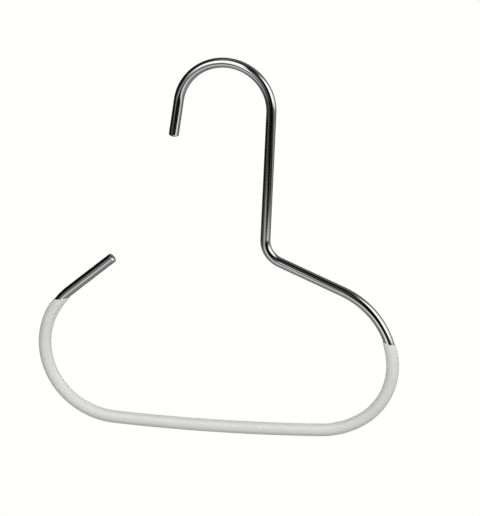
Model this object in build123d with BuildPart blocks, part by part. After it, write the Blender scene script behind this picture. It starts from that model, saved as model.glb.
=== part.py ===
from build123d import *
import math
import os

# A hanging hook for scarves and ties, bent from one round steel rod and
# dipped in a soft coating along its lower loop. The rod is bent in one flat
# plane, x-z, and y runs through its thickness.
#
# Frame: +Z up, as the hook hangs. The origin is the inner crown of the hook,
# where the wardrobe rail bears on it. +X points to the shoulder side of the
# loop, and the rail would lie along Y.

# ---------------------------------------------------------------- dimensions
rod_d = 5.0             # bright steel rod
dome_r = 3.6            # both rod ends are gently domed
dome_rim = 0.25         # and their rims are rounded

hook_r = 23.0           # centreline radius of the hook
tip_heading = 81.53     # direction of the short hook leg, going up from its tip
leg_len = 17.92         # straight hook leg, up to its domed end
hook_turn = 173.98
stem_len = 64.49
neck_r = 11.68          # the tight bend below the stem
neck_turn = 69.78
shoulder_len = 34.04    # straight slope of the shoulder
corner_r1 = 41.41       # right end of the loop: three tangent arcs
corner_turn1 = 63.97
corner_r2 = 34.68
corner_turn2 = 60.76
corner_r3 = 41.71
corner_turn3 = 29.31
bar_r = 1014.1          # the bottom bar bows gently down
bar_turn = 5.94
end_r = 37.28           # left end of the loop, one round bend
end_turn = 137.33
arm_len = 28.83         # straight free arm that leaves the loop open, up to its dome

coat_d = 6.36           # over the dipped coating
coat_thin_d = 5.16      # over the coating just beyond its two upper edges
coat_lip = 0.12         # rounded lip of both edges
# The two dip lines: how far round its arc each crosses the rod's centreline,
# and how far it slopes from level. The coating creeps up the under side of a
# leaning rod, so the two lines slope opposite ways.
dip_right_at = 49.1     # degrees round corner_1
dip_right_slope = -14.0
dip_left_at = 128.1     # degrees round the left end
dip_left_slope = 9.0
taper_right = 11.0      # degrees of arc over which the coating thins
taper_left = 12.5
beyond_right = 4.0      # degrees of arc swept beyond the dip lines, then cut
beyond_left = 6.5

# ------------------------------------------------------------- the bent rod
# The dome is a cap of a sphere, and its rim is an arc that touches both the
# cap and the rod's side.
rim_at = rod_d / 2 - dome_rim
dome_back = math.sqrt((dome_r - dome_rim) ** 2 - rim_at ** 2)
dome_h = dome_r - dome_back
meet_at = math.atan2(rim_at, dome_back)


def domed_end(at, way):
    """The domed end that closes the rod at a point, facing way."""
    on_end = Plane(origin=at, x_dir=way, z_dir=(0, -1, 0))
    with BuildPart() as dome:
        with BuildSketch(on_end):
            with BuildLine():
                flat = Line((0, 0), (0, rod_d / 2))
                half = (meet_at + math.pi / 2) / 2
                rim = ThreePointArc(
                    flat @ 1,
                    (dome_rim * math.cos(half), rim_at + dome_rim * math.sin(half)),
                    (dome_rim * math.cos(meet_at), rim_at + dome_rim * math.sin(meet_at)),
                )
                cap = ThreePointArc(
                    rim @ 1,
                    (dome_r * math.cos(meet_at / 2) - dome_back, dome_r * math.sin(meet_at / 2)),
                    (dome_h, 0),
                )
                Line(cap @ 1, (0, 0))
            make_face()
        revolve(axis=Axis(at, way))
    return dome.part


rail_to_centre = hook_r - rod_d / 2
h0 = math.radians(tip_heading)
hook_start = (-hook_r * math.sin(h0), -rail_to_centre + hook_r * math.cos(h0))
rod_tip = (
    hook_start[0] - leg_len * math.cos(h0),
    hook_start[1] - leg_len * math.sin(h0),
)

with BuildPart() as bent_rod:
    with BuildLine(Plane.XZ) as rod_line:
        leg = Line(rod_tip, hook_start)
        hook = JernArc(leg @ 1, leg % 1, hook_r, -hook_turn)
        stem = Line(hook @ 1, hook @ 1 + (hook % 1) * stem_len)
        neck = JernArc(stem @ 1, stem % 1, neck_r, neck_turn)
        shoulder = Line(neck @ 1, neck @ 1 + (neck % 1) * shoulder_len)
        corner_1 = JernArc(shoulder @ 1, shoulder % 1, corner_r1, -corner_turn1)
        corner_2 = JernArc(corner_1 @ 1, corner_1 % 1, corner_r2, -corner_turn2)
        corner_3 = JernArc(corner_2 @ 1, corner_2 % 1, corner_r3, -corner_turn3)
        bar = JernArc(corner_3 @ 1, corner_3 % 1, bar_r, -bar_turn)
        loop_end = JernArc(bar @ 1, bar % 1, end_r, -end_turn)
        arm = Line(loop_end @ 1, loop_end @ 1 + (loop_end % 1) * arm_len)
    with BuildSketch(Plane(origin=leg @ 0, z_dir=leg % 0)):
        Circle(rod_d / 2)
    sweep(path=rod_line.line)
    add(domed_end(leg @ 0, -(leg % 0)))
    add(domed_end(arm @ 1, arm % 1))

bent_rod.part.label = "bent_rod"

# --------------------------------------------------------- the dipped coating
# It follows the rod's own centreline, is full between its two tapers, thins
# towards each dip line and is cut there by the slanting dip plane. Its bore
# is the rod's own surface.
r_dip = dip_right_at / corner_turn1
r_out = (dip_right_at - beyond_right) / corner_turn1
r_in = (dip_right_at + taper_right) / corner_turn1
l_dip = dip_left_at / end_turn
l_in = (dip_left_at - taper_left) / end_turn
l_out = (dip_left_at + beyond_left) / end_turn


def dip_plane(point, slope):
    a = math.radians(slope)
    return Plane(
        origin=point,
        x_dir=(math.cos(a), 0, math.sin(a)),
        z_dir=(-math.sin(a), 0, math.cos(a)),
    )


dip_right = dip_plane(corner_1 @ r_dip, dip_right_slope)
dip_left = dip_plane(loop_end @ l_dip, dip_left_slope)

with BuildPart() as grip_coating:
    # thinning right end
    with BuildLine(Plane.XZ) as right_line:
        JernArc(corner_1 @ r_out, corner_1 % r_out, corner_r1,
                -(taper_right + beyond_right))
    with BuildSketch(Plane(origin=corner_1 @ r_out, z_dir=corner_1 % r_out)):
        Circle(coat_thin_d / 2)
    with BuildSketch(Plane(origin=corner_1 @ r_in, z_dir=corner_1 % r_in)):
        Circle(coat_d / 2)
    sweep(path=right_line.line, multisection=True)
    # full run round the loop
    with BuildLine(Plane.XZ) as full_line:
        a1 = JernArc(corner_1 @ r_in, corner_1 % r_in, corner_r1,
                     -corner_turn1 * (1 - r_in))
        a2 = JernArc(a1 @ 1, a1 % 1, corner_r2, -corner_turn2)
        a3 = JernArc(a2 @ 1, a2 % 1, corner_r3, -corner_turn3)
        a4 = JernArc(a3 @ 1, a3 % 1, bar_r, -bar_turn)
        a5 = JernArc(a4 @ 1, a4 % 1, end_r, -end_turn * l_in)
    with BuildSketch(Plane(origin=corner_1 @ r_in, z_dir=corner_1 % r_in)):
        Circle(coat_d / 2)
    sweep(path=full_line.line)
    # thinning left end
    with BuildLine(Plane.XZ) as left_line:
        JernArc(loop_end @ l_in, loop_end % l_in, end_r,
                -(taper_left + beyond_left))
    with BuildSketch(Plane(origin=loop_end @ l_in, z_dir=loop_end % l_in)):
        Circle(coat_d / 2)
    with BuildSketch(Plane(origin=loop_end @ l_out, z_dir=loop_end % l_out)):
        Circle(coat_thin_d / 2)
    sweep(path=left_line.line, multisection=True)
    # both dip lines
    split(bisect_by=dip_right, keep=Keep.BOTTOM)
    split(bisect_by=dip_left, keep=Keep.BOTTOM)
    # rounded lips
    right_lip = grip_coating.faces().sort_by_distance(dip_right.origin)[0]
    left_lip = grip_coating.faces().sort_by_distance(dip_left.origin)[0]
    fillet(right_lip.edges() + left_lip.edges(), radius=coat_lip)
    # bore on the rod
    add(bent_rod.part, mode=Mode.SUBTRACT)

grip_coating.part.label = "grip_coating"

os.makedirs("parts", exist_ok=True)
export_step(bent_rod.part, "parts/bent_rod.step")
export_step(grip_coating.part, "parts/grip_coating.step")

# ------------------------------------------------------------------- figures
def run_of(line):
    return sum(edge.length for edge in line.edges())


length = run_of(rod_line) + 2 * dome_h
print("rod length", round(length, 2))
print("rod volume", round(bent_rod.part.volume, 1),
      "section x length", round(math.pi * rod_d ** 2 / 4 * length, 1))
coat_length = (run_of(full_line) + run_of(right_line) + run_of(left_line)
               - math.radians(beyond_right) * corner_r1
               - math.radians(beyond_left) * end_r)
print("coated length", round(coat_length, 2))
print("coating volume", round(grip_coating.part.volume, 1),
      "full section x length",
      round(math.pi * (coat_d ** 2 - rod_d ** 2) / 4 * coat_length, 1))
for name, edge in (("hook", hook), ("stem", stem), ("neck", neck),
                   ("shoulder", shoulder), ("corner_1", corner_1),
                   ("corner_2", corner_2), ("corner_3", corner_3), ("bar", bar),
                   ("loop_end", loop_end), ("arm", arm)):
    print(name, "ends at", round((edge @ 1).X, 2), round((edge @ 1).Z, 2))
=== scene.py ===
import math

import bpy
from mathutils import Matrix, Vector


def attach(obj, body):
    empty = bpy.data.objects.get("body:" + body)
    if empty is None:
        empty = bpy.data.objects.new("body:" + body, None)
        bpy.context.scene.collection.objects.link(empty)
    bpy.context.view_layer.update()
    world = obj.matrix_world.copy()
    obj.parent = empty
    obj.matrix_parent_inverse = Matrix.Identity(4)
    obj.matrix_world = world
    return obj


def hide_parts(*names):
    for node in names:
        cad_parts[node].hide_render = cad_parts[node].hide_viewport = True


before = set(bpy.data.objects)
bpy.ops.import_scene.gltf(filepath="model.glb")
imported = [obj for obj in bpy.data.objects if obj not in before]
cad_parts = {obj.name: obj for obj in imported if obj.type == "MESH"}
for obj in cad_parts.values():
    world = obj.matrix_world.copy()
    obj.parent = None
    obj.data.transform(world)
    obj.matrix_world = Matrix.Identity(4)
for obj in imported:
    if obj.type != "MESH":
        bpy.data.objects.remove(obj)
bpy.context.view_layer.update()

# ------------------------------------------------------------------ the bends
# The rod's centreline, as in the part: straight runs and tangent arcs in the
# x-z plane. Lengths in millimetres, turns in degrees, left turns positive.
ROD_R = 2.5
DOME_R = 3.6
DOME_RIM = 0.25
RIM_AT = ROD_R - DOME_RIM
DOME_BACK = math.sqrt((DOME_R - DOME_RIM) ** 2 - RIM_AT ** 2)
DOME_H = DOME_R - DOME_BACK
MEET_AT = math.atan2(RIM_AT, DOME_BACK)
HOOK_R = 23.0
HEADING = 81.53
RUNS = [
    ("leg", 17.92, None, 0.0),
    ("hook", None, 23.0, -173.98),
    ("stem", 64.49, None, 0.0),
    ("neck", None, 11.68, 69.78),
    ("shoulder", 34.04, None, 0.0),
    ("corner_1", None, 41.41, -63.97),
    ("corner_2", None, 34.68, -60.76),
    ("corner_3", None, 41.71, -29.31),
    ("bar", None, 1014.1, -5.94),
    ("loop_end", None, 37.28, -137.33),
    ("arm", 28.83, None, 0.0),
]
COAT_R = 3.18
DIP_RIGHT = ("corner_1", 49.1, -14.0)   # run, degrees round it, slope of the dip line
DIP_LEFT = ("loop_end", 128.1, 9.0)


def rotated(v, deg):
    a = math.radians(deg)
    return (v[0] * math.cos(a) - v[1] * math.sin(a), v[0] * math.sin(a) + v[1] * math.cos(a))


class Path:
    def __init__(self):
        h = math.radians(HEADING)
        start = (-HOOK_R * math.sin(h), -(HOOK_R - ROD_R) + HOOK_R * math.cos(h))
        p = (start[0] - RUNS[0][1] * math.cos(h), start[1] - RUNS[0][1] * math.sin(h))
        self.parts, s, a = [], 0.0, HEADING
        for name, length, radius, turn in RUNS:
            if length is None:
                length = radius * math.radians(abs(turn))
            self.parts.append((name, s, length, radius, turn, p, a))
            p = self.on(self.parts[-1], length)[0]
            s += length
            a += turn
        self.length = s

    def on(self, part, d):
        name, s, length, radius, turn, p, a = part
        t = (math.cos(math.radians(a)), math.sin(math.radians(a)))
        if radius is None:
            return (p[0] + t[0] * d, p[1] + t[1] * d), t
        side = 1.0 if turn > 0 else -1.0
        centre = (p[0] - t[1] * side * radius, p[1] + t[0] * side * radius)
        deg = side * math.degrees(d / radius)
        arm = rotated((p[0] - centre[0], p[1] - centre[1]), deg)
        return (centre[0] + arm[0], centre[1] + arm[1]), rotated(t, deg)

    def at(self, s):
        for part in self.parts:
            if s <= part[1] + part[2] or part is self.parts[-1]:
                return self.on(part, s - part[1])

    def start_of(self, name):
        return next(p for p in self.parts if p[0] == name)


path = Path()


def ring_point(s, r, theta, along=0.0):
    """A point at radius r round the centreline; along shifts it down the rod."""
    (cx, cz), (tx, tz) = path.at(s)
    n = r * math.cos(theta)
    return Vector((
        (cx - tz * n + tx * along) / 1000.0,
        r * math.sin(theta) / 1000.0,
        (cz + tx * n + tz * along) / 1000.0,
    ))


def tube(name, rows, uv_rows, caps=None, closed=False):
    """A skin over rows of rings. rows: lists of points, all of one length.

    caps: how far out of each end ring its closing point stands.
    """
    n = len(rows[0])
    verts = [p for row in rows for p in row]
    faces, uvs = [], []
    count = len(rows)
    for i in range(count if closed else count - 1):
        j = (i + 1) % count
        for k in range(n):
            k2 = (k + 1) % n
            faces.append((i * n + k, j * n + k, j * n + k2, i * n + k2))
            v0, v1 = k / n, (k + 1) / n
            u0, u1 = uv_rows[i][k], uv_rows[j][k]
            u2, u3 = uv_rows[j][k2], uv_rows[i][k2]
            uvs += [(u0, v0), (u1, v0), (u2, v1), (u3, v1)]
    if caps:
        for row, back in ((0, True), (-1, False)):
            mid = sum((rows[row][k] for k in range(n)), Vector()) / n + caps[row]
            verts.append(mid)
            m = len(verts) - 1
            for k in range(n):
                k2 = (k + 1) % n
                a, b = row % count * n + k, row % count * n + k2
                faces.append((a, b, m) if back else (b, a, m))
                u = uv_rows[row][k]
                uvs += [(u, k / n), (u, (k + 1) / n), (u, (k + 0.5) / n)]
    mesh = bpy.data.meshes.new(name)
    mesh.from_pydata(verts, [], faces)
    layer = mesh.uv_layers.new(name="UVMap")
    for loop, uv in zip(layer.data, uvs):
        loop.uv = uv
    mesh.validate()
    mesh.update()
    for poly in mesh.polygons:
        poly.use_smooth = True
    obj = bpy.data.objects.new(name, mesh)
    bpy.context.scene.collection.objects.link(obj)
    return obj


# -------------------------------------------------------------------- the rod
ROD_SIDES = 72


def rod_rows():
    rows, uvs = [], []

    def add(s, r, along=0.0):
        rows.append([ring_point(s, r, 2 * math.pi * k / ROD_SIDES, along) for k in range(ROD_SIDES)])
        uvs.append([(s + along + DOME_H) / (path.length + 2 * DOME_H)] * ROD_SIDES)

    # both ends: a shallow dome, then its rounded rim
    end = [(DOME_R * math.sin(a), DOME_R * math.cos(a) - DOME_BACK)
           for a in (MEET_AT * i / 14 for i in range(1, 15))]
    end += [(RIM_AT + DOME_RIM * math.sin(a), DOME_RIM * math.cos(a))
            for a in (MEET_AT + (math.pi / 2 - MEET_AT) * i / 6 for i in range(1, 7))]
    for r, out in end:
        add(0.0, r, -out)
    count = 720
    for i in range(1, count):
        add(path.length * i / count, ROD_R)
    for r, out in reversed(end):
        add(path.length, r, out)
    return rows, uvs


rows, uvs = rod_rows()
crown = DOME_R * (1 - math.cos(MEET_AT / 14))
(_, t0), (_, t1) = path.at(0.0), path.at(path.length)
rod = tube("chromed_rod", rows, uvs, caps={
    0: Vector((-t0[0], 0.0, -t0[1])) * crown / 1000.0,
    -1: Vector((t1[0], 0.0, t1[1])) * crown / 1000.0,
})

# ---------------------------------------------------------------- the coating
COAT_SIDES = 96
LIP = 0.28              # width of the rounded lip
EDGE_T = 0.18           # thickness just inside the lip
SINK = 0.02             # the bore sits this far inside the rod's skin


def dip_edge(dip, theta, s_near):
    """Where along the rod the slanting dip line crosses the rod's skin."""
    run, deg, slope = dip
    part = path.start_of(run)
    (cx, cz), _ = path.on(part, part[3] * math.radians(deg))
    a = math.radians(slope)
    n = (-math.sin(a), math.cos(a))

    def height(s):
        p = ring_point(s, ROD_R, theta) * 1000.0
        return (p.x - cx) * n[0] + (p.z - cz) * n[1]

    lo, hi = s_near - 14.0, s_near + 14.0
    sign = 1.0 if height(hi) > 0 else -1.0
    for _ in range(40):
        mid = (lo + hi) / 2
        if height(mid) * sign > 0:
            hi = mid
        else:
            lo = mid
    return (lo + hi) / 2


def s_of(dip):
    part = path.start_of(dip[0])
    return part[1] + part[3] * math.radians(dip[1])


S_RIGHT, S_LEFT = s_of(DIP_RIGHT), s_of(DIP_LEFT)
right_edge = [dip_edge(DIP_RIGHT, 2 * math.pi * k / COAT_SIDES, S_RIGHT) for k in range(COAT_SIDES)]
left_edge = [dip_edge(DIP_LEFT, 2 * math.pi * k / COAT_SIDES, S_LEFT) for k in range(COAT_SIDES)]


def thickness(a, b):
    """Coating thickness at distances a and b from the right and left edges."""
    full = COAT_R - ROD_R

    def near(d, run):
        return EDGE_T + (full - EDGE_T) * (1 - math.exp(-d / run))

    t = min(near(a, 3.0), near(b, 3.0))
    d = min(a, b)
    if d < LIP:
        t *= math.sqrt(max(0.0, 1 - (1 - d / LIP) ** 2))
    return t


def coat_rows():
    # stations from edge to edge, close together at both lips
    near = [LIP * (1 - math.cos(math.pi / 2 * i / 7)) for i in range(8)]
    near += [LIP + 0.25 * i ** 1.35 for i in range(1, 16)]
    stations = [("r", d) for d in near]
    inner = 250
    stations += [("m", i / inner) for i in range(inner + 1)]
    stations += [("l", d) for d in reversed(near)]
    last = near[-1] + 0.9
    outer, outer_uv, bore, bore_uv = [], [], [], []
    for kind, x in stations:
        ring, uv, inside = [], [], []
        for k in range(COAT_SIDES):
            th = 2 * math.pi * k / COAT_SIDES
            a0, b0 = right_edge[k], left_edge[k]
            if kind == "r":
                s = a0 + x
            elif kind == "l":
                s = b0 - x
            else:
                s = a0 + last + (b0 - a0 - 2 * last) * x
            t = thickness(s - a0, b0 - s)
            r = ROD_R - SINK + (t + SINK if t > 0 else 0.0)
            ring.append(ring_point(s, r, th))
            inside.append(ring_point(s, ROD_R - SINK, th))
            uv.append(s / path.length)
        outer.append(ring)
        outer_uv.append(uv)
        bore.append(inside)
        bore_uv.append(uv)
    # the bore runs back from the far edge; the two edge rings are shared
    rows_ = outer + list(reversed(bore[1:-1]))
    uv_ = outer_uv + list(reversed(bore_uv[1:-1]))
    return rows_, uv_


rows, uvs = coat_rows()
coat = tube("dip_coating", rows, uvs, closed=True)


# ------------------------------------------------------------------ materials
def material(name):
    m = bpy.data.materials.new(name)
    m.use_nodes = True
    nt = m.node_tree
    nt.nodes.clear()
    out = nt.nodes.new("ShaderNodeOutputMaterial")
    return m, nt, out


def node(nt, kind, inputs=None, **attrs):
    n = nt.nodes.new(kind)
    for k, v in attrs.items():
        setattr(n, k, v)
    for k, v in (inputs or {}).items():
        if isinstance(v, bpy.types.NodeSocket):
            nt.links.new(v, n.inputs[k])
        else:
            n.inputs[k].default_value = v
    return n


def chrome():
    m, nt, out = material("bright_chrome")
    uv = node(nt, "ShaderNodeTexCoord")
    # long stretched noise along the rod, wrapped round it: faint polishing lines
    split = node(nt, "ShaderNodeSeparateXYZ", {"Vector": uv.outputs["UV"]})
    run = node(nt, "ShaderNodeMath", {0: split.outputs["X"], 1: 54.0}, operation="MULTIPLY")
    turn = node(nt, "ShaderNodeMath", {0: split.outputs["Y"], 1: 2 * math.pi}, operation="MULTIPLY")
    cos = node(nt, "ShaderNodeMath", {0: turn.outputs[0]}, operation="COSINE")
    sin = node(nt, "ShaderNodeMath", {0: turn.outputs[0]}, operation="SINE")
    cos = node(nt, "ShaderNodeMath", {0: cos.outputs[0], 1: 21.0}, operation="MULTIPLY")
    sin = node(nt, "ShaderNodeMath", {0: sin.outputs[0], 1: 21.0}, operation="MULTIPLY")
    along = node(nt, "ShaderNodeCombineXYZ", {0: run.outputs[0], 1: cos.outputs[0], 2: sin.outputs[0]})
    lines = node(nt, "ShaderNodeTexNoise", {"Vector": along.outputs["Vector"], "Scale": 1.0, "Detail": 4.0, "Roughness": 0.6})
    obj = node(nt, "ShaderNodeTexNoise", {"Vector": uv.outputs["Object"], "Scale": 90.0, "Detail": 3.0, "Roughness": 0.5})
    tint = node(nt, "ShaderNodeValToRGB", {"Fac": obj.outputs["Fac"]})
    tint.color_ramp.elements[0].position = 0.3
    tint.color_ramp.elements[0].color = (0.548, 0.550, 0.555, 1)
    tint.color_ramp.elements[1].position = 0.7
    tint.color_ramp.elements[1].color = (0.577, 0.577, 0.579, 1)
    rough = node(nt, "ShaderNodeMapRange", {"Value": lines.outputs["Fac"], "From Min": 0.3, "From Max": 0.7, "To Min": 0.035, "To Max": 0.075})
    bump = node(nt, "ShaderNodeBump", {"Height": lines.outputs["Fac"], "Strength": 0.02, "Distance": 0.0001})
    b = node(nt, "ShaderNodeBsdfPrincipled", {
        "Base Color": tint.outputs["Color"], "Roughness": rough.outputs["Result"], "Normal": bump.outputs["Normal"], "Metallic": 1.0})
    nt.links.new(b.outputs["BSDF"], out.inputs["Surface"])
    return m


def dip():
    m, nt, out = material("soft_dip_coating")
    uv = node(nt, "ShaderNodeTexCoord")
    cloud = node(nt, "ShaderNodeTexNoise", {"Vector": uv.outputs["Object"], "Scale": 60.0, "Detail": 3.0, "Roughness": 0.55})
    tint = node(nt, "ShaderNodeValToRGB", {"Fac": cloud.outputs["Fac"]})
    tint.color_ramp.elements[0].position = 0.3
    tint.color_ramp.elements[0].color = (0.862, 0.861, 0.848, 1)
    tint.color_ramp.elements[1].position = 0.7
    tint.color_ramp.elements[1].color = (0.892, 0.891, 0.878, 1)
    fine = node(nt, "ShaderNodeTexNoise", {"Vector": uv.outputs["Object"], "Scale": 420.0, "Detail": 2.0, "Roughness": 0.5})
    rough = node(nt, "ShaderNodeMapRange", {"Value": cloud.outputs["Fac"], "From Min": 0.3, "From Max": 0.7, "To Min": 0.34, "To Max": 0.42})
    bump = node(nt, "ShaderNodeBump", {"Height": fine.outputs["Fac"], "Strength": 0.04, "Distance": 0.0001})
    b = node(nt, "ShaderNodeBsdfPrincipled", {
        "Base Color": tint.outputs["Color"], "Roughness": rough.outputs["Result"], "Normal": bump.outputs["Normal"],
        "Metallic": 0.0, "IOR": 1.5})
    nt.links.new(b.outputs["BSDF"], out.inputs["Surface"])
    return m


rod.data.materials.append(chrome())
coat.data.materials.append(dip())

for piece, cad_node, slot in ((rod, "bent_rod", "rod"), (coat, "grip_coating", "coating")):
    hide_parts(cad_node)
    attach(piece, "root")

# --------------------------------------------------------------------- studio
TARGET = Vector((0.007785, 0.0, -0.09644))

# The light comes from a round studio: a dome whose inside glows where a light
# panel or a pale wall stands and is dark where there is none. Each entry has
# its brightness, how that drifts across it, and its straight soft edges: the
# side that an edge faces, how far out it lies, and how soft it is.
STUDIO_R = 0.668
STUDIO_GAIN = 1.10
STUDIO = [
    ("room", 0.085, (0.181, 0.264, -0.123), []),
    ("wall_left", 1.104, (0.253, 1.163, -0.338), [
        ((-0.7988, -0.2577, 0.5436), 0.0847, 0.2570),
        ((-0.5703, 0.1078, -0.8144), -0.7862, 0.3035),
        ((0.5103, -0.8511, 0.1236), 0.0842, 0.6349)]),
    ("table", 0.889, (-0.089, 0.168, 0.579), [
        ((-0.1381, -0.1901, -0.9720), 0.4494, 0.1065)]),
    ("panel_top", 2.611, (-0.274, -0.643, 1.207), [
        ((-0.8366, 0.5202, -0.1715), -0.6156, 0.1255),
        ((0.3301, -0.1444, 0.9328), 0.3040, 0.5365),
        ((-0.0196, -0.9978, 0.0626), 0.6280, 0.5065)]),
    ("panel_right", 1.546, (-0.302, -1.094, 0.725), [
        ((0.4215, 0.0591, 0.9049), 0.3596, 0.2221),
        ((0.7406, 0.6496, -0.1720), 0.2212, 0.2714),
        ((0.8619, -0.4506, -0.2325), 0.4677, 0.1983)]),
    ("edge_right", 0.622, (-0.681, 0.545, -0.637), [
        ((-0.0531, -0.0140, 0.9985), -0.0402, 0.0100),
        ((-0.8576, -0.1163, -0.5009), 0.0936, 0.0927),
        ((0.6534, -0.6762, -0.3403), 0.0855, 0.4487)]),
    ("dark_gap", 0.024, (-0.325, 0.115, -0.045), [
        ((-0.0546, 0.3192, 0.9461), -0.4515, 0.0399),
        ((-0.0080, -0.1174, -0.9931), 0.2517, 0.0242),
        ((0.4606, -0.8873, 0.0225), 0.2019, 0.5686)]),
    ("dark_left", -0.092, (0.001, 0.033, -0.506), [
        ((-0.0042, -0.2041, 0.9789), -0.8873, 0.2452),
        ((0.0002, -0.0445, -0.9990), 0.2272, 0.2390),
        ((-0.9772, 0.1547, -0.1452), 0.4312, 0.4364)]),
    ("table_edge", 1.035, (-0.007, -0.238, -0.116), [
        ((0.0198, 0.0275, -0.9994), 0.3181, 0.0686),
        ((-0.0758, -0.0966, 0.9924), -0.4370, 0.2084),
        ((0.4869, -0.8490, -0.2051), 0.5289, 0.6982)]),
    ("panel_front", 1.354, (0.155, 0.218, 0.007), [
        ((-0.9214, 0.0154, 0.3884), 0.0487, 0.1230),
        ((0.0150, 0.2072, 0.9782), 0.1019, 0.2020),
        ((0.2019, -0.9748, -0.0949), 0.6058, 0.3583)]),
    ("dark_back", 0.050, (0.0, 0.0, 0.0), [
        ((-0.1815, 0.9336, -0.3090), 0.5000, 0.2000)]),
    ("panel_back", 1.450, (0.0, 0.0, 0.4), [
        ((-0.1815, 0.9336, -0.3090), 0.6500, 0.0600),
        ((0.9816, 0.1908, 0.0000), -0.2700, 0.0800),
        ((-0.9816, -0.1908, 0.0000), -0.2700, 0.0800),
        ((-0.0590, 0.3033, 0.9511), -0.3800, 0.1000),
        ((0.0590, -0.3033, -0.9511), -0.3800, 0.1000)]),
]


def studio_light():
    m, nt, out = material("studio_light")
    geo = node(nt, "ShaderNodeNewGeometry")
    rel = node(nt, "ShaderNodeVectorMath", operation="SUBTRACT")
    nt.links.new(geo.outputs["Position"], rel.inputs[0])
    rel.inputs[1].default_value = TARGET
    way = node(nt, "ShaderNodeVectorMath", operation="NORMALIZE")
    nt.links.new(rel.outputs["Vector"], way.inputs[0])

    def math_node(op, a, b=None, clamp=False):
        n = node(nt, "ShaderNodeMath", operation=op, use_clamp=clamp)
        for i, v in enumerate((a, b)):
            if v is None:
                continue
            if isinstance(v, bpy.types.NodeSocket):
                nt.links.new(v, n.inputs[i])
            else:
                n.inputs[i].default_value = v
        return n.outputs[0]

    def dot(vec):
        n = node(nt, "ShaderNodeVectorMath", operation="DOT_PRODUCT")
        nt.links.new(way.outputs["Vector"], n.inputs[0])
        n.inputs[1].default_value = vec
        return n.outputs["Value"]

    total = None
    for name, level, drift, edges in STUDIO:
        glow = math_node("MAXIMUM", math_node("ADD", dot(drift), level), 0.0)
        if total is None:
            total = glow
            continue
        mask = None
        for facing, out_at, soft in edges:
            e = node(nt, "ShaderNodeMapRange", {"Value": dot(facing)}, interpolation_type="SMOOTHSTEP", clamp=True)
            e.inputs["From Min"].default_value = out_at - soft / 2
            e.inputs["From Max"].default_value = out_at + soft / 2
            mask = e.outputs["Result"] if mask is None else math_node("MULTIPLY", mask, e.outputs["Result"])
        # glow over total by mask
        diff = math_node("SUBTRACT", glow, total)
        total = math_node("ADD", total, math_node("MULTIPLY", diff, mask))
    total = math_node("MULTIPLY", total, STUDIO_GAIN)
    em = node(nt, "ShaderNodeEmission", {"Color": (1.0, 1.0, 1.0, 1.0), "Strength": total})
    nt.links.new(em.outputs["Emission"], out.inputs["Surface"])
    return m


def ball(name, radius, centre, rings=48, segments=96):
    verts = [centre + Vector((0, 0, radius))]
    for i in range(1, rings):
        a = math.pi * i / rings
        for k in range(segments):
            b = 2 * math.pi * k / segments
            verts.append(centre + radius * Vector((math.sin(a) * math.cos(b), math.sin(a) * math.sin(b), math.cos(a))))
    verts.append(centre - Vector((0, 0, radius)))
    faces = [(0, 1 + k, 1 + (k + 1) % segments) for k in range(segments)]
    for i in range(rings - 2):
        for k in range(segments):
            a, b = 1 + i * segments + k, 1 + i * segments + (k + 1) % segments
            faces.append((a, a + segments, b + segments, b))
    last, base = len(verts) - 1, 1 + (rings - 2) * segments
    faces += [(base + k, last, base + (k + 1) % segments) for k in range(segments)]
    mesh = bpy.data.meshes.new(name)
    mesh.from_pydata(verts, [], faces)
    obj = bpy.data.objects.new(name, mesh)
    bpy.context.scene.collection.objects.link(obj)
    return obj


dome = ball("studio_dome", STUDIO_R, TARGET)
light = studio_light()
light.cycles.emission_sampling = "NONE"
dome.data.materials.append(light)
dome.visible_camera = dome.visible_diffuse = False
dome.visible_shadow = False

# The pale coating is lit by a ring of broad soft boxes that stand where the
# studio's light comes from. They are felt, and not seen in the chrome: azimuth,
# elevation, how much light, width and height in degrees.
SOFT_DIST = 0.6
SOFT_BOXES = [
    (-16.9, 42.5, 1.450, 35.0, 32.0),
    (73.0, 25.4, 0.790, 19.0, 33.0),
    (-25.0, 38.0, 0.950, 65.0, 65.0),
    (112.5, 27.5, 0.840, 65.0, 65.0),
    (27.5, 8.8, 0.330, 65.0, 65.0),
    (165.0, 0.0, 0.700, 65.0, 65.0),
    (80.1, -17.9, 0.880, 65.0, 65.0),
    (-142.4, -27.5, 0.350, 65.0, 65.0),
    (-4.9, -38.0, 0.890, 65.0, 65.0),
    (132.6, -50.3, 0.450, 65.0, 65.0),
    (-89.9, -67.4, 0.485, 65.0, 65.0),
    (-169.0, -18.0, 1.000, 30.0, 30.0),
]
for number, (az, el, amount, wide, high) in enumerate(SOFT_BOXES, 1):
    name = "soft_box_%02d" % number
    az, el = math.radians(az), math.radians(el)
    way = Vector((math.sin(az) * math.cos(el), -math.cos(az) * math.cos(el), math.sin(el)))
    data = bpy.data.lights.new(name, "AREA")
    data.shape = "RECTANGLE"
    data.size = 2 * SOFT_DIST * math.tan(math.radians(wide / 2))
    data.size_y = 2 * SOFT_DIST * math.tan(math.radians(high / 2))
    data.energy = amount * math.pi * SOFT_DIST ** 2
    lamp = bpy.data.objects.new(name, data)
    lamp.location = TARGET + way * SOFT_DIST
    lamp.rotation_mode = "QUATERNION"
    lamp.rotation_quaternion = (-way).to_track_quat("-Z", "Y")
    lamp.visible_camera = lamp.visible_glossy = False
    bpy.context.scene.collection.objects.link(lamp)

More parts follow.
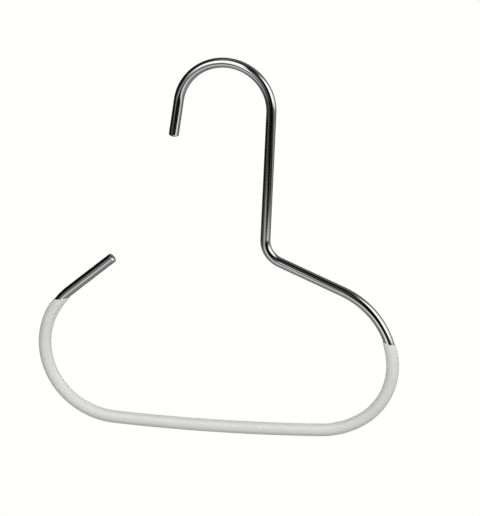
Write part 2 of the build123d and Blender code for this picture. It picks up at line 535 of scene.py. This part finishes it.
# a plain pale floor, well below the hanging hook
floor_mesh = bpy.data.meshes.new("floor")
n = 96
ring = [(6.0 * math.cos(2 * math.pi * k / n), 6.0 * math.sin(2 * math.pi * k / n), -0.85) for k in range(n)]
floor_mesh.from_pydata(ring, [], [tuple(range(n))])
floor = bpy.data.objects.new("floor", floor_mesh)
bpy.context.scene.collection.objects.link(floor)
m, nt, out = material("pale_floor")
em = node(nt, "ShaderNodeEmission", {"Color": (1.0, 1.0, 0.984, 1.0), "Strength": 1.0})
clear = node(nt, "ShaderNodeBsdfTransparent")
geo = node(nt, "ShaderNodeNewGeometry")
mix = node(nt, "ShaderNodeMixShader")
nt.links.new(geo.outputs["Backfacing"], mix.inputs[0])
nt.links.new(em.outputs[0], mix.inputs[1])
nt.links.new(clear.outputs[0], mix.inputs[2])
nt.links.new(mix.outputs[0], out.inputs["Surface"])
m.cycles.emission_sampling = "NONE"
floor.data.materials.append(m)
floor.visible_diffuse = floor.visible_glossy = floor.visible_shadow = False

world = bpy.data.worlds.new("studio_air")
world.use_nodes = True
bg = world.node_tree.nodes["Background"]
bg.inputs["Color"].default_value = (1.0, 1.0, 0.984, 1.0)
bg.inputs["Strength"].default_value = 1.0
world.cycles_visibility.diffuse = False
bpy.context.scene.world = world

scene = bpy.context.scene
scene.view_settings.view_transform = "Standard"
scene.view_settings.look = "None"
scene.view_settings.exposure = 0.0
scene.view_settings.gamma = 1.0

# --------------------------------------------------------------------- camera
AZ, EL, DIST = math.radians(11.0), math.radians(18.0), 1.5
back = Vector((math.sin(AZ) * math.cos(EL), -math.cos(AZ) * math.cos(EL), math.sin(EL)))
cam_data = bpy.data.cameras.new("camera")
cam_data.sensor_width = 36.0
cam_data.sensor_fit = "AUTO"
cam_data.lens = 212.45
cam_data.clip_start = 0.05
cam_data.clip_end = 30.0
cam = bpy.data.objects.new("camera", cam_data)
right = Vector((math.cos(AZ), math.sin(AZ), 0.0))
up = Vector((-math.sin(AZ) * math.sin(EL), math.cos(AZ) * math.sin(EL), math.cos(EL)))
cam.location = TARGET + back * DIST + (up - right) * 0.0002463
cam.rotation_mode = "QUATERNION"
cam.rotation_quaternion = (-back).to_track_quat("-Z", "Y")
scene.collection.objects.link(cam)
scene.camera = cam
